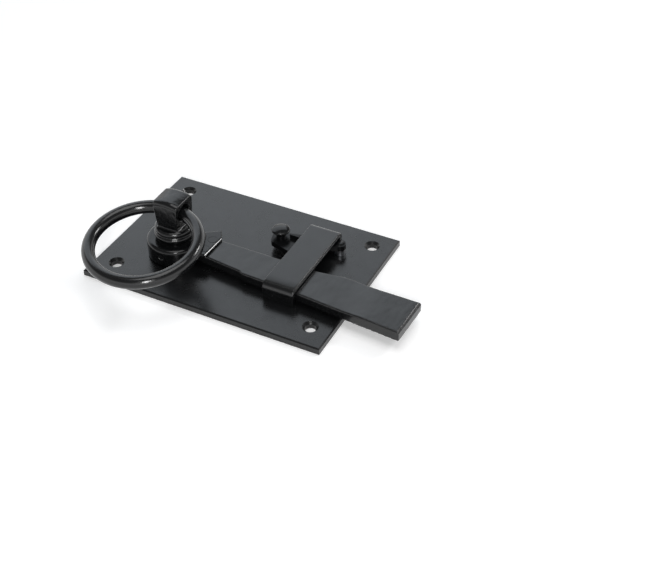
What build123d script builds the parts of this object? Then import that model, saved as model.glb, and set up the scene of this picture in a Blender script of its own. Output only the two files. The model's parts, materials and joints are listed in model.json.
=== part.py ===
from build123d import *
import os
from math import sqrt

# Rim latch with a lifting bar and a ring handle, in millimetres.
# Origin: middle of the backplate, on its back face.
# +X runs from the hub to the bar's nose, +Y is up on the door, +Z stands out of the backplate.

# Backplate
plate_length = 152.0
plate_width = 105.0
plate_thick = 4.0
plate_bevel = 0.7
screw_left_x = -62.7
screw_right_x = 63.5
screw_front_y = -38.4
screw_back_y = 40.4
screw_hole_radius = 3.2
countersink_radius = 4.6

# Clearances
running_fit = 0.08
body_gap = 0.3
close_fit = 0.02

# Hub: boss, journal and socket
hub_x = -36.7
hub_y = -13.9
boss_radius = 16.9
boss_top = 16.0
boss_round = 2.0
thrust_washer_thick = 0.7
thrust_washer_radius = 12.0
journal_radius = 8.0
counterbore_depth = 2.6
counterbore_radius = 11.6
back_washer_thick = 0.9
back_washer_radius = 11.0
circlip_thick = 0.9
circlip_groove_depth = 0.9
circlip_width = 2.4
circlip_opening = 4.0
journal_recess = 0.2
socket_side = 8.2
socket_depth = 7.8

# Arm that joins the boss to the bar
arm_thick = 1.9
arm_reach = 24.4
arm_front = 6.8
arm_back = 18.0
arm_end_lean = 0.8
arm_clip_x = 4.2
arm_clip_y = 6.9
arm_root_back = 10.2
arm_root_front = 11.4
arm_root_x = 9.5
arm_edge_softening = 0.5

# Latch bar
bar_root_reach = 13.5
bar_nose_x = 113.2
bar_nose_lean = 1.1
bar_bottom = 6.4
bar_thick = 5.4
bar_back_y = -1.9
bar_back_nose_y = -2.9
bar_front_y = -18.6
bar_front_nose_y = -31.0
bar_jog_x = 10.0
bar_jog_length = 2.5
bar_jog_y = -22.3
bar_jog_step = 1.3
bar_rest_x = 47.0
bar_rest_y = -25.4
bar_swell_from_x = 72.0
bar_swell = 0.8
bar_crown_from_x = 48.0
bar_crown_top_x = 66.0
bar_crown_to_x = 92.0
bar_crown_rise = 2.0
bar_nick_x = 57.0
bar_nick_radius = 1.1
bar_nick_out = 1.5
bar_edge_round = 1.0
bar_rivet_radius = 2.0
bar_rivet_head_radius = 2.7
bar_rivet_head_depth = 0.7
bar_rivet_inset = 4.3
bar_rivet_y = -10.8
bar_rivet_spacing = 9.0

# Knuckle, collar and spigot
neck_radius = 10.0
neck_height = 1.9
lower_bead_radius = 12.2
lower_bead_height = 3.1
upper_bead_radius = 11.5
upper_bead_height = 3.6
bead_groove_radius = 10.7
bead_top_radius = 9.9
knuckle_foot_x = 13.4
knuckle_foot_front = 7.2
knuckle_foot_back = 9.4
knuckle_top_x = 16.6
knuckle_top_front = 8.3
knuckle_top_back = 9.0
knuckle_height = 17.2
knuckle_crown = 1.3
knuckle_front_round = 3.0
knuckle_side_round = 0.5
spigot_radius = 5.8
cross_pin_radius = 1.5
cross_pin_z = 11.0
cross_pin_recess = 0.4

# Ring and the hole that carries it
ring_radius = 30.5
ring_wire_radius = 3.8
ring_droop = 6.0
ring_hole_z = 34.0
ring_hole_rim = 0.8

# Staple
staple_left = 28.2
staple_width = 19.6
staple_front_inside = -25.8
staple_back_inside = 29.5
staple_inside_height = 8.2
strap_thick = 3.0
strap_bend = 3.6
strap_inner_bend = 0.8
strap_edge_softening = 0.5
tenon_length = 10.0
tenon_thick = 2.4
tenon_flare = 0.8
tenon_flare_depth = 1.2

# Locking lever and its knob
snib_pivot_x = 49.6
snib_pivot_y = 26.3
snib_eye_radius = 3.3
snib_thick = 3.4
snib_bottom = 7.5
snib_head_back = (9.7, 19.6)
snib_head_front = (12.0, 10.9)
snib_belly = (27.5, 6.2)
snib_hollow = (37.5, 15.6)
snib_head_round = 3.4
snib_corner_round = 3.0
snib_belly_round = 4.0
stop_tab_from_x = 21.0
stop_tab_to_x = 27.0
stop_tab_y = 18.0
stop_tab_thick = 1.3
stop_tab_height = 2.6
snib_rivet_radius = 1.7
snib_rivet_head_radius = 2.6
snib_rivet_head_depth = 1.0
snib_rivet_dome = 0.4
snib_spacer_radius = 3.1
spring_washer_thick = 0.4
spring_washer_bow = 0.5
knob_x = 15.4
knob_y = 17.6
knob_radius = 5.4
knob_rim = 0.9
knob_edge_round = 0.9
knob_dome = 0.9
knob_base_height = 4.2
knob_neck_radius = 2.9
knob_neck_height = 1.5
knob_spigot_radius = 1.6

# Heights and places that follow from the sizes above
boss_bottom = plate_thick + thrust_washer_thick + body_gap
circlip_top = counterbore_depth - body_gap - back_washer_thick
circlip_bottom = circlip_top - circlip_thick
groove_radius = journal_radius - circlip_groove_depth
bar_top = bar_bottom + bar_thick
arm_top = bar_top + arm_thick
neck_top = boss_top + neck_height
bead_groove_z = neck_top + lower_bead_height
knuckle_bottom = bead_groove_z + upper_bead_height
knuckle_top = knuckle_bottom + knuckle_height
spigot_bottom = journal_recess + socket_depth
staple_mid_x = staple_left + staple_width / 2
staple_front_mid = staple_front_inside - strap_thick / 2
staple_back_mid = staple_back_inside + strap_thick / 2
staple_mid_y = (staple_front_inside + staple_back_inside) / 2
staple_inside_length = staple_back_inside - staple_front_inside
snib_top = snib_bottom + snib_thick
spacer_top = snib_bottom - body_gap - spring_washer_thick - spring_washer_bow
bar_root_x = hub_x + bar_root_reach
bar_rivet_x = hub_x + arm_reach - bar_rivet_inset
bar_back_line = (bar_root_x - bar_nose_x, bar_back_y - bar_back_nose_y)

os.makedirs("parts", exist_ok=True)


def save(builder, label):
    builder.part.label = label
    export_step(builder.part, f"parts/{label}.step")


def bar_back_at(x):
    """The back edge of the bar without its crown."""
    share = (x - bar_root_x) / (bar_nose_x - bar_root_x)
    return bar_back_y + share * (bar_back_nose_y - bar_back_y)


def is_bar_rim(edge):
    """Upper edges of the bar beyond the arm, without the lines that cross its face."""
    middle = edge.center()
    across = min(abs(middle.X - bar_swell_from_x), abs(middle.X - bar_crown_to_x)) < bar_edge_round
    return middle.Z > bar_top - bar_edge_round / 2 and middle.X > bar_root_x + arm_reach / 2 and not across


def make_bar_rivets(mode):
    """The two rivets through the arm and the bar, or their holes."""
    for side in (-1, 1):
        x = bar_rivet_x
        y = bar_rivet_y + side * bar_rivet_spacing / 2
        with BuildSketch(Plane.XZ.offset(-y)) as section:
            with BuildLine():
                Polyline(
                    (x, bar_bottom),
                    (x + bar_rivet_head_radius, bar_bottom),
                    (x + bar_rivet_radius, bar_bottom + bar_rivet_head_depth),
                    (x + bar_rivet_radius, arm_top - bar_rivet_head_depth),
                    (x + bar_rivet_head_radius, arm_top),
                    (x, arm_top),
                    close=True,
                )
            make_face()
        revolve(section.sketch, axis=Axis((x, y, 0), (0, 0, 1)), mode=mode)


def make_tenons(mode):
    """The staple's two tenons with their riveted flare, or the slots that they fill."""
    for y in (staple_front_mid, staple_back_mid):
        with BuildSketch(Plane.XY.offset(tenon_flare_depth)) as waist:
            with Locations((staple_mid_x, y)):
                Rectangle(tenon_length, tenon_thick)
        extrude(waist.sketch, amount=plate_thick - tenon_flare_depth, mode=mode)
        with BuildSketch(Plane.XY) as foot:
            with Locations((staple_mid_x, y)):
                Rectangle(tenon_length + 2 * tenon_flare, tenon_thick + 2 * tenon_flare)
        loft([foot.sketch.face(), waist.sketch.face()], mode=mode)


# Backplate: sheet with screw holes, the hub's bore and counterbore, tenon slots and the rivet's hole
screw_rows = (screw_front_y, screw_back_y)
screw_places = [(x, y) for x in (screw_left_x, screw_right_x) for y in screw_rows]
with BuildPart() as backplate:
    with BuildSketch():
        Rectangle(plate_length, plate_width)
    extrude(amount=plate_thick)
    chamfer(backplate.faces().sort_by(Axis.Z)[-1].edges(), plate_bevel)
    with Locations((0, 0, plate_thick)):
        with Locations(*screw_places):
            CounterSinkHole(screw_hole_radius, countersink_radius, depth=plate_thick, counter_sink_angle=90)
    with BuildSketch():
        with Locations((hub_x, hub_y)):
            Circle(journal_radius + running_fit)
    extrude(amount=plate_thick, mode=Mode.SUBTRACT)
    with BuildSketch():
        with Locations((hub_x, hub_y)):
            Circle(counterbore_radius)
    extrude(amount=counterbore_depth, mode=Mode.SUBTRACT)
    make_tenons(Mode.SUBTRACT)
    with BuildSketch(Plane.XZ.offset(-snib_pivot_y)):
        with BuildLine():
            Polyline(
                (snib_pivot_x, 0),
                (snib_pivot_x + snib_rivet_head_radius, 0),
                (snib_pivot_x + snib_rivet_radius, snib_rivet_head_depth),
                (snib_pivot_x + snib_rivet_radius, plate_thick),
                (snib_pivot_x, plate_thick),
                close=True,
            )
        make_face()
    revolve(axis=Axis((snib_pivot_x, snib_pivot_y, 0), (0, 0, 1)), mode=Mode.SUBTRACT)
save(backplate, "backplate")

# Staple: strap bent over the bar, with tenons riveted into the flared slots of the backplate
with BuildPart() as staple:
    with BuildSketch(Plane.YZ.offset(staple_left)) as arch:
        with Locations((staple_mid_y, plate_thick)):
            Rectangle(
                staple_inside_length + 2 * strap_thick,
                staple_inside_height + strap_thick,
                align=(Align.CENTER, Align.MIN),
            )
        fillet(arch.vertices().group_by(Axis.Y)[-1], strap_bend)
    extrude(amount=staple_width)
    with BuildSketch(Plane.YZ.offset(staple_left)) as tunnel:
        with Locations((staple_mid_y, plate_thick)):
            Rectangle(staple_inside_length, staple_inside_height, align=(Align.CENTER, Align.MIN))
        fillet(tunnel.vertices().group_by(Axis.Y)[-1], strap_inner_bend)
    extrude(amount=staple_width, mode=Mode.SUBTRACT)
    outer_loops = staple.faces().filter_by(Axis.X).edges().filter_by(lambda e: e.center().Z > plate_thick)
    tall_edges = outer_loops.filter_by(
        lambda e: e.center().Z > plate_thick + staple_inside_height + strap_thick / 2
    )
    chamfer(tall_edges, strap_edge_softening)
    make_tenons(Mode.ADD)
save(staple, "staple")

# Rivets that join the arm and the bar, countersunk flush on both faces
with BuildPart() as bar_rivets:
    make_bar_rivets(Mode.ADD)
save(bar_rivets, "bar_rivets")

# Latch bar: crowned and nicked back edge, stepped front edge, and a nose that swells wider and thicker
with BuildPart() as latch_bar:
    with BuildSketch(Plane.XY.offset(bar_bottom)):
        with BuildLine():
            Polyline(
                (bar_root_x, bar_back_at(bar_root_x)),
                (bar_root_x, bar_front_y),
                (bar_jog_x, bar_jog_y),
                (bar_jog_x + bar_jog_length, bar_jog_y - bar_jog_step),
                (bar_rest_x, bar_rest_y),
                (bar_nose_x - bar_nose_lean, bar_front_nose_y),
                (bar_nose_x, bar_back_nose_y),
                (bar_crown_to_x, bar_back_at(bar_crown_to_x)),
            )
            Spline(
                (bar_crown_to_x, bar_back_at(bar_crown_to_x)),
                (bar_crown_top_x, bar_back_at(bar_crown_top_x) + bar_crown_rise),
                (bar_crown_from_x, bar_back_at(bar_crown_from_x)),
                tangents=(bar_back_line, bar_back_line),
            )
            Line(
                (bar_crown_from_x, bar_back_at(bar_crown_from_x)),
                (bar_root_x, bar_back_at(bar_root_x)),
            )
        make_face()
        with Locations((hub_x, hub_y)):
            Circle(boss_radius + body_gap, mode=Mode.SUBTRACT)
    extrude(amount=bar_thick + bar_swell)
    with BuildSketch(Plane.XZ.offset(-bar_crown_rise)):
        with BuildLine():
            Polyline(
                (bar_swell_from_x, bar_top),
                (bar_root_x, bar_top),
                (bar_root_x, bar_bottom),
                (bar_nose_x, bar_bottom),
                (bar_nose_x, bar_top + bar_swell),
                (bar_crown_to_x, bar_top + bar_swell),
            )
            Spline(
                (bar_swell_from_x, bar_top),
                (bar_crown_to_x, bar_top + bar_swell),
                tangents=((1, 0), (1, 0)),
            )
        make_face()
    extrude(amount=bar_crown_rise - bar_front_nose_y, mode=Mode.INTERSECT)
    fillet(latch_bar.edges().filter_by(is_bar_rim), bar_edge_round)
    with BuildSketch(Plane.XY.offset(bar_bottom)):
        with Locations((bar_nick_x, bar_back_at(bar_nick_x) + bar_nick_out)):
            Circle(bar_nick_radius)
    extrude(amount=bar_thick, mode=Mode.SUBTRACT)
    make_bar_rivets(Mode.SUBTRACT)
save(latch_bar, "latch_bar")

# Hub: boss, flared arm with a clipped corner, journal with a clip groove, spindle socket from the back
with BuildPart() as hub_arm:
    with BuildSketch(Plane.XY.offset(bar_top)):
        with BuildLine():
            Polyline(
                (hub_x, hub_y - arm_root_front),
                (hub_x + arm_root_x, hub_y - arm_root_front),
                (hub_x + arm_reach - arm_end_lean, hub_y - arm_front),
                (hub_x + arm_reach, hub_y + arm_back - arm_clip_y),
                (hub_x + arm_reach - arm_clip_x, hub_y + arm_back),
                (hub_x + arm_root_x, hub_y + arm_root_back),
                (hub_x, hub_y + arm_root_back),
                close=True,
            )
        make_face()
    extrude(amount=arm_thick)
    arm_rim = hub_arm.faces().sort_by(Axis.Z)[-1].edges().filter_by(
        lambda e: e.center().X > hub_x + arm_root_x
    )
    chamfer(arm_rim, arm_edge_softening)
    with BuildSketch(Plane.XZ.offset(-hub_y)):
        with BuildLine():
            Polyline(
                (hub_x + boss_radius - boss_round, boss_top),
                (hub_x, boss_top),
                (hub_x, journal_recess),
                (hub_x + journal_radius, journal_recess),
                (hub_x + journal_radius, circlip_bottom),
                (hub_x + groove_radius, circlip_bottom),
                (hub_x + groove_radius, circlip_top),
                (hub_x + journal_radius, circlip_top),
                (hub_x + journal_radius, boss_bottom),
                (hub_x + boss_radius, boss_bottom),
                (hub_x + boss_radius, boss_top - boss_round),
            )
            TangentArc(
                (hub_x + boss_radius, boss_top - boss_round),
                (hub_x + boss_radius - boss_round, boss_top),
                tangent=(0, 1),
            )
        make_face()
    revolve(axis=Axis((hub_x, hub_y, 0), (0, 0, 1)))
    with BuildSketch(Plane.XY.offset(journal_recess)):
        with Locations((hub_x, hub_y)):
            Rectangle(socket_side, socket_side)
    extrude(amount=socket_depth, mode=Mode.SUBTRACT)
    with BuildSketch(Plane.XY.offset(spigot_bottom)):
        with Locations((hub_x, hub_y)):
            Circle(spigot_radius + close_fit)
    extrude(amount=boss_top - spigot_bottom, mode=Mode.SUBTRACT)
    with BuildSketch(Plane.XZ.offset(-hub_y - boss_radius)):
        with Locations((hub_x, cross_pin_z)):
            Circle(cross_pin_radius + close_fit)
    extrude(amount=2 * boss_radius, mode=Mode.SUBTRACT)
    make_bar_rivets(Mode.SUBTRACT)
save(hub_arm, "hub_arm")

# Knuckle: tapered block with a crowned top, two turned beads, neck and spigot, and a bell-mouthed ring hole
crown_radius = (knuckle_top_x**2 / 4 + knuckle_crown**2) / (2 * knuckle_crown)
with BuildPart() as handle_knuckle:
    with BuildSketch(Plane.XY.offset(knuckle_bottom)):
        with Locations((hub_x, hub_y - knuckle_foot_front)):
            Rectangle(knuckle_foot_x, knuckle_foot_front + knuckle_foot_back, align=(Align.CENTER, Align.MIN))
    with BuildSketch(Plane.XY.offset(knuckle_top + knuckle_crown)):
        with Locations((hub_x, hub_y - knuckle_top_front)):
            Rectangle(knuckle_top_x, knuckle_top_front + knuckle_top_back, align=(Align.CENTER, Align.MIN))
    loft(ruled=True)
    with BuildSketch(Plane.XZ.offset(-hub_y)):
        with Locations((hub_x, knuckle_top + knuckle_crown - crown_radius)):
            Circle(crown_radius)
    extrude(amount=knuckle_foot_back + knuckle_top_front, both=True, mode=Mode.INTERSECT)
    crown_edges = handle_knuckle.faces().sort_by(Axis.Z)[-1].edges()
    front_and_back = crown_edges.filter_by(lambda e: abs(e.center().Y - hub_y) > knuckle_top_front / 2)
    fillet(front_and_back, knuckle_front_round)
    upper_edges = handle_knuckle.edges().filter_by(lambda e: e.center().Z > knuckle_top - knuckle_front_round)
    side_edges = upper_edges.filter_by(lambda e: abs(e.center().X - hub_x) > knuckle_foot_x / 2)
    fillet(side_edges, knuckle_side_round)
    with BuildSketch(Plane.XZ.offset(-hub_y)):
        with BuildLine():
            Polyline(
                (hub_x + bead_top_radius, knuckle_bottom),
                (hub_x, knuckle_bottom),
                (hub_x, spigot_bottom),
                (hub_x + spigot_radius, spigot_bottom),
                (hub_x + spigot_radius, boss_top),
                (hub_x + neck_radius, boss_top),
                (hub_x + neck_radius, neck_top),
                (hub_x + bead_groove_radius, neck_top),
            )
            ThreePointArc(
                (hub_x + bead_groove_radius, neck_top),
                (hub_x + lower_bead_radius, neck_top + lower_bead_height / 2),
                (hub_x + bead_groove_radius, bead_groove_z),
            )
            ThreePointArc(
                (hub_x + bead_groove_radius, bead_groove_z),
                (hub_x + upper_bead_radius, bead_groove_z + upper_bead_height / 2),
                (hub_x + bead_top_radius, knuckle_bottom),
            )
        make_face()
    revolve(axis=Axis((hub_x, hub_y, 0), (0, 0, 1)))
    with BuildSketch(Plane.XZ.offset(-hub_y - spigot_radius)):
        with Locations((hub_x, cross_pin_z)):
            Circle(cross_pin_radius + close_fit)
    extrude(amount=2 * spigot_radius, mode=Mode.SUBTRACT)
    mouth_x = knuckle_top_x / 2 + ring_hole_rim
    bell_radius = ring_radius - ring_wire_radius - body_gap
    mouth_height = ring_radius - sqrt(bell_radius**2 - mouth_x**2)
    with BuildSketch(Plane.XZ.offset(-hub_y)):
        with BuildLine():
            ThreePointArc(
                (hub_x - mouth_x, ring_hole_z + mouth_height),
                (hub_x, ring_hole_z + ring_wire_radius + body_gap),
                (hub_x + mouth_x, ring_hole_z + mouth_height),
            )
            Polyline(
                (hub_x + mouth_x, ring_hole_z + mouth_height),
                (hub_x + mouth_x, ring_hole_z),
                (hub_x - mouth_x, ring_hole_z),
                (hub_x - mouth_x, ring_hole_z + mouth_height),
            )
        make_face()
    revolve(axis=Axis((hub_x, hub_y, ring_hole_z), (1, 0, 0)), mode=Mode.SUBTRACT)
save(handle_knuckle, "handle_knuckle")

# Cross pin through the boss and the spigot
with BuildPart() as knuckle_cross_pin:
    with BuildSketch(Plane.XZ.offset(-hub_y - boss_radius + cross_pin_recess)):
        with Locations((hub_x, cross_pin_z)):
            Circle(cross_pin_radius)
    extrude(amount=2 * (boss_radius - cross_pin_recess))
save(knuckle_cross_pin, "knuckle_cross_pin")

# Washers and clip on the journal
with BuildPart() as hub_thrust_washer:
    with BuildSketch(Plane.XY.offset(plate_thick)):
        with Locations((hub_x, hub_y)):
            Circle(thrust_washer_radius)
            Circle(journal_radius + running_fit, mode=Mode.SUBTRACT)
    extrude(amount=thrust_washer_thick)
save(hub_thrust_washer, "hub_thrust_washer")

with BuildPart() as hub_back_washer:
    with BuildSketch(Plane.XY.offset(circlip_top)):
        with Locations((hub_x, hub_y)):
            Circle(back_washer_radius)
            Circle(journal_radius + close_fit, mode=Mode.SUBTRACT)
    extrude(amount=back_washer_thick)
save(hub_back_washer, "hub_back_washer")

with BuildPart() as hub_circlip:
    with BuildSketch(Plane.XY.offset(circlip_bottom)):
        with Locations((hub_x, hub_y)):
            Circle(groove_radius + close_fit + circlip_width)
            Circle(groove_radius + close_fit, mode=Mode.SUBTRACT)
        with Locations((hub_x - groove_radius - circlip_width, hub_y)):
            Rectangle(2 * circlip_width + groove_radius, circlip_opening, mode=Mode.SUBTRACT)
    extrude(amount=circlip_thick)
save(hub_circlip, "hub_circlip")

# Ring: round bar bent to a closed circle through the knuckle's hole, drooping towards the front
with BuildPart() as ring_handle:
    ring_plane = Plane(origin=(hub_x, hub_y, ring_hole_z), x_dir=(0, -1, 0), z_dir=(1, 0, 0))
    with BuildSketch(ring_plane):
        Circle(ring_wire_radius)
    droop_frame = Plane(origin=(hub_x, hub_y, ring_hole_z)).rotated((ring_droop, 0, 0))
    ring_axis = Axis(droop_frame.from_local_coords((0, -ring_radius, 0)), droop_frame.z_dir)
    revolve(axis=ring_axis)
save(ring_handle, "ring_handle")

# Locking lever: comma-shaped plate from the knob, under the staple, to the eye on its rivet, with a stop tab
with BuildPart() as snib_lever:
    with BuildSketch(Plane.XY.offset(snib_bottom)) as lever_face:
        with BuildLine():
            Polyline(
                (snib_pivot_x, snib_pivot_y + snib_eye_radius),
                snib_head_back,
                snib_head_front,
                snib_belly,
            )
            ThreePointArc(snib_belly, snib_hollow, (snib_pivot_x, snib_pivot_y - snib_eye_radius))
            Line(
                (snib_pivot_x, snib_pivot_y - snib_eye_radius),
                (snib_pivot_x, snib_pivot_y + snib_eye_radius),
            )
        make_face()
        head_corners = lever_face.vertices().sort_by(Axis.X)
        fillet(head_corners[0], snib_head_round)
        fillet(lever_face.vertices().sort_by_distance(snib_head_front)[0], snib_corner_round)
        fillet(lever_face.vertices().sort_by(Axis.Y)[0], snib_belly_round)
        with Locations((snib_pivot_x, snib_pivot_y)):
            Circle(snib_eye_radius)
    extrude(amount=snib_thick)
    with BuildSketch(Plane.XY.offset(snib_top)):
        with Locations(((stop_tab_from_x + stop_tab_to_x) / 2, stop_tab_y + stop_tab_thick / 2)):
            Rectangle(stop_tab_to_x - stop_tab_from_x, stop_tab_thick)
    extrude(amount=stop_tab_height)
    with BuildSketch(Plane.XY.offset(snib_bottom)):
        with Locations((knob_x, knob_y)):
            Circle(knob_spigot_radius + close_fit)
    extrude(amount=snib_thick, mode=Mode.SUBTRACT)
    with BuildSketch(Plane.XZ.offset(-snib_pivot_y)):
        with BuildLine():
            Polyline(
                (snib_pivot_x, snib_bottom),
                (snib_pivot_x + snib_rivet_radius + running_fit, snib_bottom),
                (snib_pivot_x + snib_rivet_radius + running_fit, snib_top - snib_rivet_head_depth),
                (snib_pivot_x + snib_rivet_head_radius + running_fit, snib_top),
                (snib_pivot_x, snib_top),
                close=True,
            )
        make_face()
    revolve(axis=Axis((snib_pivot_x, snib_pivot_y, 0), (0, 0, 1)), mode=Mode.SUBTRACT)
save(snib_lever, "snib_lever")

# Rivet that the lever turns on, closed in the backplate, with a slightly domed head
with BuildPart() as snib_pivot_rivet:
    with BuildSketch(Plane.XZ.offset(-snib_pivot_y)):
        with BuildLine():
            Polyline(
                (snib_pivot_x, snib_top + snib_rivet_dome),
                (snib_pivot_x, 0),
                (snib_pivot_x + snib_rivet_head_radius, 0),
                (snib_pivot_x + snib_rivet_radius, snib_rivet_head_depth),
                (snib_pivot_x + snib_rivet_radius, snib_top - snib_rivet_head_depth),
                (snib_pivot_x + snib_rivet_head_radius, snib_top),
            )
            TangentArc(
                (snib_pivot_x, snib_top + snib_rivet_dome),
                (snib_pivot_x + snib_rivet_head_radius, snib_top),
                tangent=(1, 0),
            )
        make_face()
    revolve(axis=Axis((snib_pivot_x, snib_pivot_y, 0), (0, 0, 1)))
save(snib_pivot_rivet, "snib_pivot_rivet")

# Collar under the lever
with BuildPart() as snib_spacer:
    with BuildSketch(Plane.XY.offset(plate_thick)):
        with Locations((snib_pivot_x, snib_pivot_y)):
            Circle(snib_spacer_radius)
            Circle(snib_rivet_radius + close_fit, mode=Mode.SUBTRACT)
    extrude(amount=spacer_top - plate_thick)
save(snib_spacer, "snib_spacer")

# Bowed washer between the collar and the lever
with BuildPart() as snib_spring_washer:
    with BuildSketch(Plane.XZ.offset(-snib_pivot_y - snib_spacer_radius)):
        with BuildLine():
            lower = ThreePointArc(
                (snib_pivot_x - snib_spacer_radius, spacer_top),
                (snib_pivot_x, spacer_top + spring_washer_bow),
                (snib_pivot_x + snib_spacer_radius, spacer_top),
            )
            upper = ThreePointArc(
                (snib_pivot_x - snib_spacer_radius, spacer_top + spring_washer_thick),
                (snib_pivot_x, spacer_top + spring_washer_bow + spring_washer_thick),
                (snib_pivot_x + snib_spacer_radius, spacer_top + spring_washer_thick),
            )
            Line(lower @ 0, upper @ 0)
            Line(lower @ 1, upper @ 1)
        make_face()
    extrude(amount=2 * snib_spacer_radius)
    with BuildSketch(Plane.XY.offset(spacer_top)):
        with Locations((snib_pivot_x, snib_pivot_y)):
            Circle(snib_spacer_radius)
            Circle(snib_rivet_radius + close_fit, mode=Mode.SUBTRACT)
    extrude(amount=spring_washer_bow + spring_washer_thick, mode=Mode.INTERSECT)
save(snib_spring_washer, "snib_spring_washer")

# Knob: low-domed button with a tapered underside on a short neck, riveted into the lever
knob_base = snib_top + knob_base_height
knob_rim_top = knob_base + knob_rim
with BuildPart() as snib_knob:
    with BuildSketch(Plane.XZ.offset(-knob_y)) as knob_section:
        with BuildLine():
            Polyline(
                (knob_x, knob_rim_top + knob_dome),
                (knob_x, snib_bottom),
                (knob_x + knob_spigot_radius, snib_bottom),
                (knob_x + knob_spigot_radius, snib_top),
                (knob_x + knob_neck_radius, snib_top),
                (knob_x + knob_neck_radius, snib_top + knob_neck_height),
                (knob_x + knob_radius, knob_base),
                (knob_x + knob_radius, knob_rim_top),
            )
            TangentArc(
                (knob_x, knob_rim_top + knob_dome),
                (knob_x + knob_radius, knob_rim_top),
                tangent=(1, 0),
            )
        make_face()
        rim_corner = knob_section.vertices().sort_by_distance((knob_x + knob_radius, knob_rim_top))[0]
        fillet(rim_corner, knob_edge_round)
    revolve(axis=Axis((knob_x, knob_y, 0), (0, 0, 1)))
save(snib_knob, "snib_knob")
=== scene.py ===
import json
from math import cos, pi, radians, sin

import bmesh
import bpy
from mathutils import Matrix, Vector
from mathutils.noise import noise as noise_at

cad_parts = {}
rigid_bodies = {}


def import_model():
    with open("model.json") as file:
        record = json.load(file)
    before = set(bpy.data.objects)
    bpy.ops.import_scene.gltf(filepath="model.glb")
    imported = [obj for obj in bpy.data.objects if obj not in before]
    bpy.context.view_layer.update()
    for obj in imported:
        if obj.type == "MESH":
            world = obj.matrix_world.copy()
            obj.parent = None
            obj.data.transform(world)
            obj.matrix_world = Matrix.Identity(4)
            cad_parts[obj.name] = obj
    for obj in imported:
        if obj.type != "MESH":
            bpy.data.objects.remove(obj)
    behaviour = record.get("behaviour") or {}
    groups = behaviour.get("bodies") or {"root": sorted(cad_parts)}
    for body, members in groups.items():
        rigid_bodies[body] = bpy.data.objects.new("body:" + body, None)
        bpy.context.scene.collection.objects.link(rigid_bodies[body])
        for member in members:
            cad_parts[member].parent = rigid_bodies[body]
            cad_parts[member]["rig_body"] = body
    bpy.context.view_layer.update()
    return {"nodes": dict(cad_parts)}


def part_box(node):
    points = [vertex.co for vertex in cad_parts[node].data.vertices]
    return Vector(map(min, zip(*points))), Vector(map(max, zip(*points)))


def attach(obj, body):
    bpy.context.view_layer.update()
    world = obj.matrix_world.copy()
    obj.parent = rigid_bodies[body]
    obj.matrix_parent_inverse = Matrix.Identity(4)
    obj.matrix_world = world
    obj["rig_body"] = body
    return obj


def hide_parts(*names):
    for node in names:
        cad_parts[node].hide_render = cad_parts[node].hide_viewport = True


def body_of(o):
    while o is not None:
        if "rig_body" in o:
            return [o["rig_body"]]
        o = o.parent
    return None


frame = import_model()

# Rim latch with a lifting bar and a ring handle, lying on a white table. Metres, in the CAD model's frame.

scene = bpy.context.scene
scene.view_settings.view_transform = "Standard"
MM = 0.001

# Camera
IMAGE_WIDTH = 665
FOCAL_PIXELS = 1139.67
SENSOR_WIDTH = 36.0
CLIP_START = 0.01
CAMERA_AT = Vector((0.28098, -0.44083, 0.41662))
LOOK_AT = Vector((0.05981, -0.00431, 0.0))
CAMERA_ROLL = radians(-0.476)

# Forged meshes: weld distance in millimetres, smoothing, and the finer wave that is added to the hammer's
WELD_REACH = 0.001
SMOOTH_FACTOR = 0.5
FINE_WAVE_SHARE = 0.4
FINE_WAVE_RATE = 2.7

# Worn edges: how far they face sideways and up, and along Y, and a point on each in millimetres
EDGE_TILT = (0.632, 0.775)
EDGE_LEAN = -0.02
NOSE_EDGE = (112.05, -17, 11.8)
ARM_EDGE = (-13.7, -11.7, 13.7)

# The strap's box in metres, and its front that sinks towards the bend, in millimetres
STRAP_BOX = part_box("staple")
STRAP_BEND = 3.6
DROOP_FROM = -20.0
DROOP_LENGTH = 7.0
DROOP_DEPTH = 0.6
DROOP_MOST = 1.2

# Lips along worn edges, in millimetres: their section, how their width wanders, and the one on the arm's end
LIP_STEPS = 24
LIP_THICK = 0.3
LIP_CROWN = 0.05
LIP_ACROSS = (-1.0, -0.5, 0.0, 0.5, 1.0)
LIP_WANDER = 0.12
LIP_WANDER_RATE = 0.6
STRAP_LIP_WIDTH = (0.34, 0.34)
ARM_LIP_WIDTH = (1.4, 0.9)
ARM_LIP_FRONT = (-13.5, -20.3, 13.4)
ARM_LIP_BACK = (-12.85, -3.2, 13.4)
ARM_LIP_LEAN = -0.03

# Powder coat: its tones, its relief in millimetres, and the roughness of its satin finish
COAT_DARK = (0.0026, 0.0028, 0.0031)
COAT_LIGHT = (0.0060, 0.0064, 0.0069)
COAT_IOR = 1.5
BLOTCH_SIZE = 8.0
PEEL_SIZE = 0.8
PEEL_DEPTH = 0.005
SATIN = (0.2, 0.26)

# Steel: its second tone against the first, its roughness, and its marks in millimetres
STEEL_PALE = 1.25
STEEL_ROUGHNESS = (0.28, 0.45)
STEEL_MARK_DEPTH = 0.01

# Table: it lies just below the plate, and its own glow grows with the distance from the latch
TABLE_HALF = 6.0
TABLE_BELOW = 0.05 * MM
TABLE_COLOUR = (0.92, 0.92, 0.92, 1)
GLOW_NEAR = 0.2
GLOW_FAR = 0.85
GLOW_FROM = 0.45
GLOW_TO = 1.6

# Room: white where the camera sees it, dim elsewhere, and mirrored as a sweep that fades as it rises
WHITE_LEVEL = 1.0
ROOM_LEVEL = 0.2
SWEEP_LEVEL = 1.45
SWEEP_FROM = 0.2
SWEEP_TO = 0.5


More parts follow.
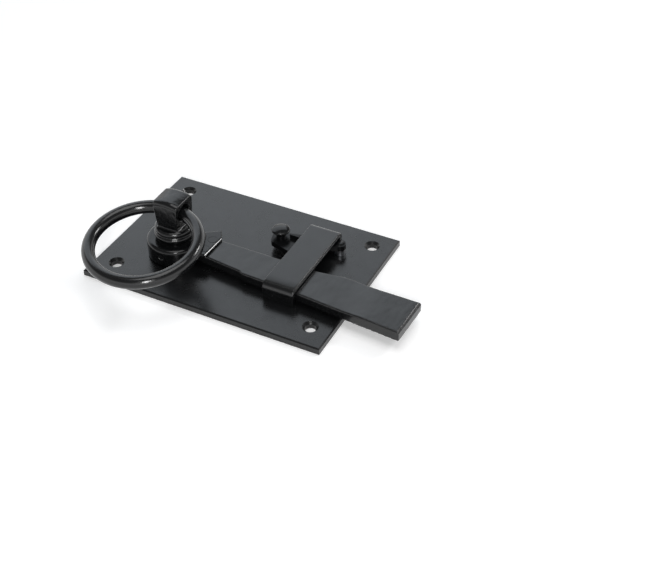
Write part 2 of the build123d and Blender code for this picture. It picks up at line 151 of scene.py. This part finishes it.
def add_camera():
    data = bpy.data.cameras.new("camera")
    data.sensor_fit = "HORIZONTAL"
    data.sensor_width = SENSOR_WIDTH
    data.lens = FOCAL_PIXELS * SENSOR_WIDTH / IMAGE_WIDTH
    data.clip_start = CLIP_START
    camera = bpy.data.objects.new("camera", data)
    scene.collection.objects.link(camera)
    aim = (LOOK_AT - CAMERA_AT).to_track_quat("-Z", "Y").to_matrix()
    turn = aim @ Matrix.Rotation(CAMERA_ROLL, 3, "Z")
    camera.matrix_world = Matrix.Translation(CAMERA_AT) @ turn.to_4x4()
    scene.camera = camera


# Nodes of a material, made from short descriptions
def link(tree, source, target):
    tree.links.new(source, target)


def new_material(name):
    material = bpy.data.materials.new(name)
    material.use_nodes = True
    tree = material.node_tree
    tree.nodes.clear()
    return material, tree


def new_metal(name):
    """Material with one shader, and the place on the piece for its patterns."""
    material, tree = new_material(name)
    shader = tree.nodes.new("ShaderNodeBsdfPrincipled")
    output = tree.nodes.new("ShaderNodeOutputMaterial")
    link(tree, shader.outputs["BSDF"], output.inputs["Surface"])
    place = tree.nodes.new("ShaderNodeTexCoord").outputs["Object"]
    return material, tree, shader, place


def noise(tree, vector, size, detail, roughness):
    """Noise whose blotches are about size millimetres across."""
    node = tree.nodes.new("ShaderNodeTexNoise")
    node.inputs["Scale"].default_value = 1 / (size * MM)
    node.inputs["Detail"].default_value = detail
    node.inputs["Roughness"].default_value = roughness
    link(tree, vector, node.inputs["Vector"])
    return node.outputs["Fac"]


def to_range(tree, value, low, high, from_low=0.3, from_high=0.7):
    """Stretches a value to a range; what comes in is taken as noise unless its own range is given."""
    node = tree.nodes.new("ShaderNodeMapRange")
    node.inputs["From Min"].default_value = from_low
    node.inputs["From Max"].default_value = from_high
    node.inputs["To Min"].default_value = low
    node.inputs["To Max"].default_value = high
    link(tree, value, node.inputs["Value"])
    return node.outputs["Result"]


def combine(tree, operation, first, second):
    node = tree.nodes.new("ShaderNodeMath")
    node.operation = operation
    link(tree, first, node.inputs[0])
    link(tree, second, node.inputs[1])
    return node.outputs["Value"]


def blend_colours(tree, share, first, second):
    node = tree.nodes.new("ShaderNodeMix")
    node.data_type = "RGBA"
    node.inputs["A"].default_value = (*first, 1)
    node.inputs["B"].default_value = (*second, 1)
    link(tree, share, node.inputs["Factor"])
    return node.outputs["Result"]


def bump(tree, height, depth, before=None):
    """Relief of depth millimetres."""
    node = tree.nodes.new("ShaderNodeBump")
    node.inputs["Strength"].default_value = 1.0
    node.inputs["Distance"].default_value = depth * MM
    link(tree, height, node.inputs["Height"])
    if before is not None:
        link(tree, before, node.inputs["Normal"])
    return node.outputs["Normal"]


def powder_coat(name, gloss=(0.16, 0.22), level=0.5, waves=0.02, wave_size=14.0):
    """Satin black powder coat: fine orange peel over the slow waves of hand-worked metal."""
    material, tree, shader, place = new_metal(name)
    cloud = noise(tree, place, BLOTCH_SIZE, detail=4.0, roughness=0.6)
    peel = noise(tree, place, PEEL_SIZE, detail=2.0, roughness=0.6)
    slow = noise(tree, place, wave_size, detail=1.5, roughness=0.4)
    tones = blend_colours(tree, to_range(tree, cloud, 0, 1), COAT_DARK, COAT_LIGHT)
    link(tree, tones, shader.inputs["Base Color"])
    link(tree, to_range(tree, cloud, gloss[1], gloss[0]), shader.inputs["Roughness"])
    relief = bump(tree, slow, waves)
    link(tree, bump(tree, peel, PEEL_DEPTH, relief), shader.inputs["Normal"])
    shader.inputs["IOR"].default_value = COAT_IOR
    shader.inputs["Specular IOR Level"].default_value = level
    return material


def steel(name, colour, mark_size):
    """Bare or plated steel with fine turning marks."""
    material, tree, shader, place = new_metal(name)
    grain = noise(tree, place, mark_size, detail=4.0, roughness=0.6)
    pale = [c * STEEL_PALE for c in colour]
    tones = blend_colours(tree, to_range(tree, grain, 0, 1), colour, pale)
    link(tree, tones, shader.inputs["Base Color"])
    link(tree, to_range(tree, grain, *STEEL_ROUGHNESS), shader.inputs["Roughness"])
    link(tree, bump(tree, grain, STEEL_MARK_DEPTH), shader.inputs["Normal"])
    shader.inputs["Metallic"].default_value = 1.0
    return material


# Pieces of the latch
def give(material, *names):
    for name in names:
        mesh = frame["nodes"][name].data
        mesh.materials.clear()
        mesh.materials.append(material)


def add_piece(name, mesh, material, node):
    """Shows a mesh as a piece that rides on the body of a CAD node."""
    mesh.materials.clear()
    mesh.materials.append(material)
    piece = bpy.data.objects.new(name, mesh)
    scene.collection.objects.link(piece)
    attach(piece, body_of(frame["nodes"][node])[0])
    return piece


def dense_mesh(node, voxel, smoothing):
    """Even mesh of a CAD node with voxels of so many millimetres, smoothed a number of times."""
    rough = bpy.data.objects.new(node.name + "_rough", node.data.copy())
    scene.collection.objects.link(rough)
    weld = rough.modifiers.new("weld", "WELD")
    weld.merge_threshold = WELD_REACH * MM
    remesh = rough.modifiers.new("remesh", "REMESH")
    remesh.mode = "VOXEL"
    remesh.voxel_size = voxel * MM
    soften = rough.modifiers.new("soften", "SMOOTH")
    soften.factor = SMOOTH_FACTOR
    soften.iterations = smoothing
    mesh = bpy.data.meshes.new_from_object(rough.evaluated_get(bpy.context.evaluated_depsgraph_get()))
    bpy.data.objects.remove(rough)
    return mesh


def forged(name, material, voxel, depth, wave, smoothing=1, bevels=(), bend=None):
    """Stands for a CAD node: its shape in a dense mesh, with hammer waves pressed in, all in millimetres.

    Each bevel is a point and a normal, and what stands beyond that plane is brought back to it. bend is
    called with each point for changes of its own.
    """
    mesh = dense_mesh(frame["nodes"][name], voxel, smoothing)
    scale = Vector([1 / (w * MM) for w in wave])
    normals = [vertex.normal.copy() for vertex in mesh.vertices]
    for vertex, normal in zip(mesh.vertices, normals):
        place = vertex.co * scale
        press = noise_at(place) + FINE_WAVE_SHARE * noise_at(FINE_WAVE_RATE * place)
        vertex.co -= normal * depth * MM * min(1, max(0, 0.5 + 0.5 * press))
        if bend:
            bend(vertex.co)
        for point, facing in bevels:
            vertex.co -= facing * max(0, (vertex.co - point).dot(facing))
    mesh.polygons.foreach_set("use_smooth", [True] * len(mesh.polygons))
    piece = add_piece(name + "_forged", mesh, material, name)
    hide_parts(name)


def edge_facing(lean):
    """Way that a worn edge faces: to +X and up, and along Y by lean."""
    return Vector((EDGE_TILT[0], lean, EDGE_TILT[1])).normalized()


def bevel_plane(point):
    """Plane of a worn edge through a point in millimetres."""
    return Vector([c * MM for c in point]), edge_facing(EDGE_LEAN)


def bend_strap(place):
    """Lets the strap's top sink towards its front bend."""
    along = min(DROOP_MOST, max(0, (DROOP_FROM * MM - place.y) / (DROOP_LENGTH * MM)))
    if place.z > STRAP_BOX[1][2] - STRAP_BEND * MM:
        place.z -= DROOP_DEPTH * MM * along**2


def lip_mesh(name, start, end, width, facing):
    """Thin crowned strip from start to end, in millimetres, that faces one way, with a width for each end."""
    start = Vector(start)
    end = Vector(end)
    across = (end - start).cross(facing).normalized()
    points = []
    for step in range(LIP_STEPS + 1):
        along = step / LIP_STEPS
        middle = start.lerp(end, along)
        wander = 1 + LIP_WANDER * noise_at(middle * LIP_WANDER_RATE)
        half = 0.5 * (width[0] + (width[1] - width[0]) * along) * wander
        for side in LIP_ACROSS:
            points.append(middle + across * half * side - facing * LIP_CROWN * side * side)
        points.append(middle + across * half - facing * LIP_THICK)
        points.append(middle - across * half - facing * LIP_THICK)
    ring = len(LIP_ACROSS) + 2
    faces = []
    for step in range(LIP_STEPS):
        first = step * ring
        for corner in range(ring):
            after = (corner + 1) % ring
            faces.append([first + corner, first + after, first + ring + after, first + ring + corner])
    faces.append(list(range(ring))[::-1])
    faces.append([LIP_STEPS * ring + corner for corner in range(ring)])
    mesh = bpy.data.meshes.new(name)
    mesh.from_pydata([p * MM for p in points], [], faces)
    shape = bmesh.new()
    shape.from_mesh(mesh)
    bmesh.ops.recalc_face_normals(shape, faces=shape.faces)
    shape.to_mesh(mesh)
    shape.free()
    return mesh


def add_strap_lip(name, material, inset, below, front, back):
    """Raised lip along the strap's right side, placed in millimetres from the upper edge of its box."""
    x = STRAP_BOX[1][0] / MM - inset
    z = STRAP_BOX[1][2] / MM - below
    mesh = lip_mesh(name, (x, front, z), (x, back, z), STRAP_LIP_WIDTH, edge_facing(0))
    add_piece(name, mesh, material, "staple")


def add_arm_lip(name, material):
    """Raised lip that the hammer left along the arm's end."""
    mesh = lip_mesh(name, ARM_LIP_FRONT, ARM_LIP_BACK, ARM_LIP_WIDTH, edge_facing(ARM_LIP_LEAN))
    add_piece(name, mesh, material, "hub_arm")


def dress():
    plate_coat = powder_coat("plate_coat", gloss=(0.23, 0.29), waves=0.04, wave_size=30.0)
    bar_coat = powder_coat("bar_coat", gloss=SATIN)
    staple_coat = powder_coat("staple_coat", gloss=SATIN, level=0.48)
    hub_coat = powder_coat("hub_coat", level=0.34)
    knuckle_coat = powder_coat("knuckle_coat", level=0.42)
    ring_coat = powder_coat("ring_coat")
    snib_coat = powder_coat("snib_coat", gloss=(0.12, 0.16), level=0.3)
    lip_coat = powder_coat("lip_coat", gloss=(0.1, 0.14), level=0.6)
    pin_coat = powder_coat("pin_coat", gloss=(0.4, 0.5), level=0.15)
    lever_coat = powder_coat("lever_coat", gloss=SATIN, level=0.18)
    zinc = steel("zinc_plate", [0.30, 0.31, 0.33], mark_size=1.5)
    plain = steel("plain_steel", [0.34, 0.34, 0.35], mark_size=0.8)
    forged("latch_bar", bar_coat, voxel=0.34, depth=0.2, wave=(7, 12, 9),
           bevels=[bevel_plane(NOSE_EDGE)])
    forged("staple", staple_coat, voxel=0.21, depth=0.05, wave=(14, 14, 14),
           bend=bend_strap)
    forged("hub_arm", hub_coat, voxel=0.4, depth=0.14, wave=(10, 10, 10), smoothing=3,
           bevels=[bevel_plane(ARM_EDGE)])
    add_strap_lip("strap_top_lip", staple_coat, inset=0.14, below=0.16, front=-22, back=28.5)
    add_strap_lip("strap_side_lip", staple_coat, inset=-0.02, below=1.6, front=-24.5, back=29.5)
    add_arm_lip("arm_end_lip", lip_coat)
    forged("handle_knuckle", knuckle_coat, voxel=0.35, depth=0.22, wave=(5, 5, 8),
           smoothing=2)
    forged("ring_handle", ring_coat, voxel=0.4, depth=0.04, wave=(14, 14, 14),
           smoothing=2)
    give(plate_coat, "backplate")
    give(hub_coat, "bar_rivets")
    give(pin_coat, "knuckle_cross_pin")
    give(lever_coat, "snib_lever")
    give(snib_coat, "snib_pivot_rivet", "snib_knob")
    give(zinc, "hub_thrust_washer", "hub_back_washer", "snib_spacer")
    give(plain, "hub_circlip", "snib_spring_washer")


# Table, light and background
def add_table():
    """White table that keeps the latch's shadow and shows white to the camera and in mirrors."""
    mesh = bpy.data.meshes.new("table")
    ways = ((-1, -1), (1, -1), (1, 1), (-1, 1))
    corners = [(x * TABLE_HALF, y * TABLE_HALF, -TABLE_BELOW) for x, y in ways]
    mesh.from_pydata(corners, [], [(0, 1, 2, 3)])
    table = bpy.data.objects.new("table", mesh)
    scene.collection.objects.link(table)
    material, tree = new_material("white_table")
    diffuse = tree.nodes.new("ShaderNodeBsdfDiffuse")
    diffuse.inputs["Color"].default_value = TABLE_COLOUR
    path = tree.nodes.new("ShaderNodeLightPath")
    seen = combine(tree, "MAXIMUM", path.outputs["Is Camera Ray"], path.outputs["Is Glossy Ray"])
    away = tree.nodes.new("ShaderNodeVectorMath")
    away.operation = "LENGTH"
    link(tree, tree.nodes.new("ShaderNodeTexCoord").outputs["Object"], away.inputs[0])
    white = to_range(tree, away.outputs["Value"], GLOW_NEAR, GLOW_FAR, GLOW_FROM, GLOW_TO)
    glow = tree.nodes.new("ShaderNodeEmission")
    link(tree, combine(tree, "MULTIPLY", seen, white), glow.inputs["Strength"])
    both = tree.nodes.new("ShaderNodeAddShader")
    link(tree, diffuse.outputs["BSDF"], both.inputs[0])
    link(tree, glow.outputs["Emission"], both.inputs[1])
    output = tree.nodes.new("ShaderNodeOutputMaterial")
    link(tree, both.outputs["Shader"], output.inputs["Surface"])
    mesh.materials.append(material)


def add_world():
    """A dim room behind a white sweep: mirrored rays see the sweep's white near the horizon."""
    world = bpy.data.worlds.new("studio")
    world.use_nodes = True
    tree = world.node_tree
    tree.nodes.clear()
    path = tree.nodes.new("ShaderNodeLightPath")
    split = tree.nodes.new("ShaderNodeSeparateXYZ")
    link(tree, tree.nodes.new("ShaderNodeTexCoord").outputs["Generated"], split.inputs["Vector"])
    sweep = to_range(tree, split.outputs["Z"], SWEEP_LEVEL, ROOM_LEVEL, SWEEP_FROM, SWEEP_TO)
    mirrored = tree.nodes.new("ShaderNodeMix")
    link(tree, path.outputs["Is Glossy Ray"], mirrored.inputs["Factor"])
    mirrored.inputs["A"].default_value = ROOM_LEVEL
    link(tree, sweep, mirrored.inputs["B"])
    seen = tree.nodes.new("ShaderNodeMix")
    link(tree, path.outputs["Is Camera Ray"], seen.inputs["Factor"])
    link(tree, mirrored.outputs["Result"], seen.inputs["A"])
    seen.inputs["B"].default_value = WHITE_LEVEL
    room = tree.nodes.new("ShaderNodeBackground")
    room.inputs["Color"].default_value = (1, 1, 1, 1)
    link(tree, seen.outputs["Result"], room.inputs["Strength"])
    output = tree.nodes.new("ShaderNodeOutputWorld")
    link(tree, room.outputs["Background"], output.inputs["Surface"])
    scene.world = world


def add_softbox(name, distance, azimuth, elevation, size, level, tint=(1, 1, 1)):
    """Rectangular soft light that faces the latch and is level times as bright as white paper."""
    data = bpy.data.lights.new(name, "AREA")
    data.shape = "RECTANGLE"
    data.size, data.size_y = size
    data.energy = level * pi * size[0] * size[1]
    data.color = tint
    light = bpy.data.objects.new(name, data)
    flat = distance * cos(radians(elevation))
    x = flat * cos(radians(azimuth))
    y = flat * sin(radians(azimuth))
    light.location = (x, y, distance * sin(radians(elevation)))
    light.rotation_euler = (-light.location).to_track_quat("-Z", "Y").to_euler()
    light.visible_camera = False
    scene.collection.objects.link(light)


add_camera()
add_table()
add_world()
add_softbox("back_left_softbox", distance=1.5, azimuth=139, elevation=38, size=(1.7, 0.8), level=1.42,
            tint=(0.92, 0.99, 1.06))
add_softbox("camera_side_strip", distance=1.0, azimuth=-64, elevation=30, size=(0.12, 0.42), level=30)
add_softbox("back_right_light", distance=1.2, azimuth=50, elevation=34, size=(0.3, 0.16), level=22)
add_softbox("overhead_softbox", distance=1.3, azimuth=0, elevation=88, size=(0.9, 0.8), level=2.6)
dress()
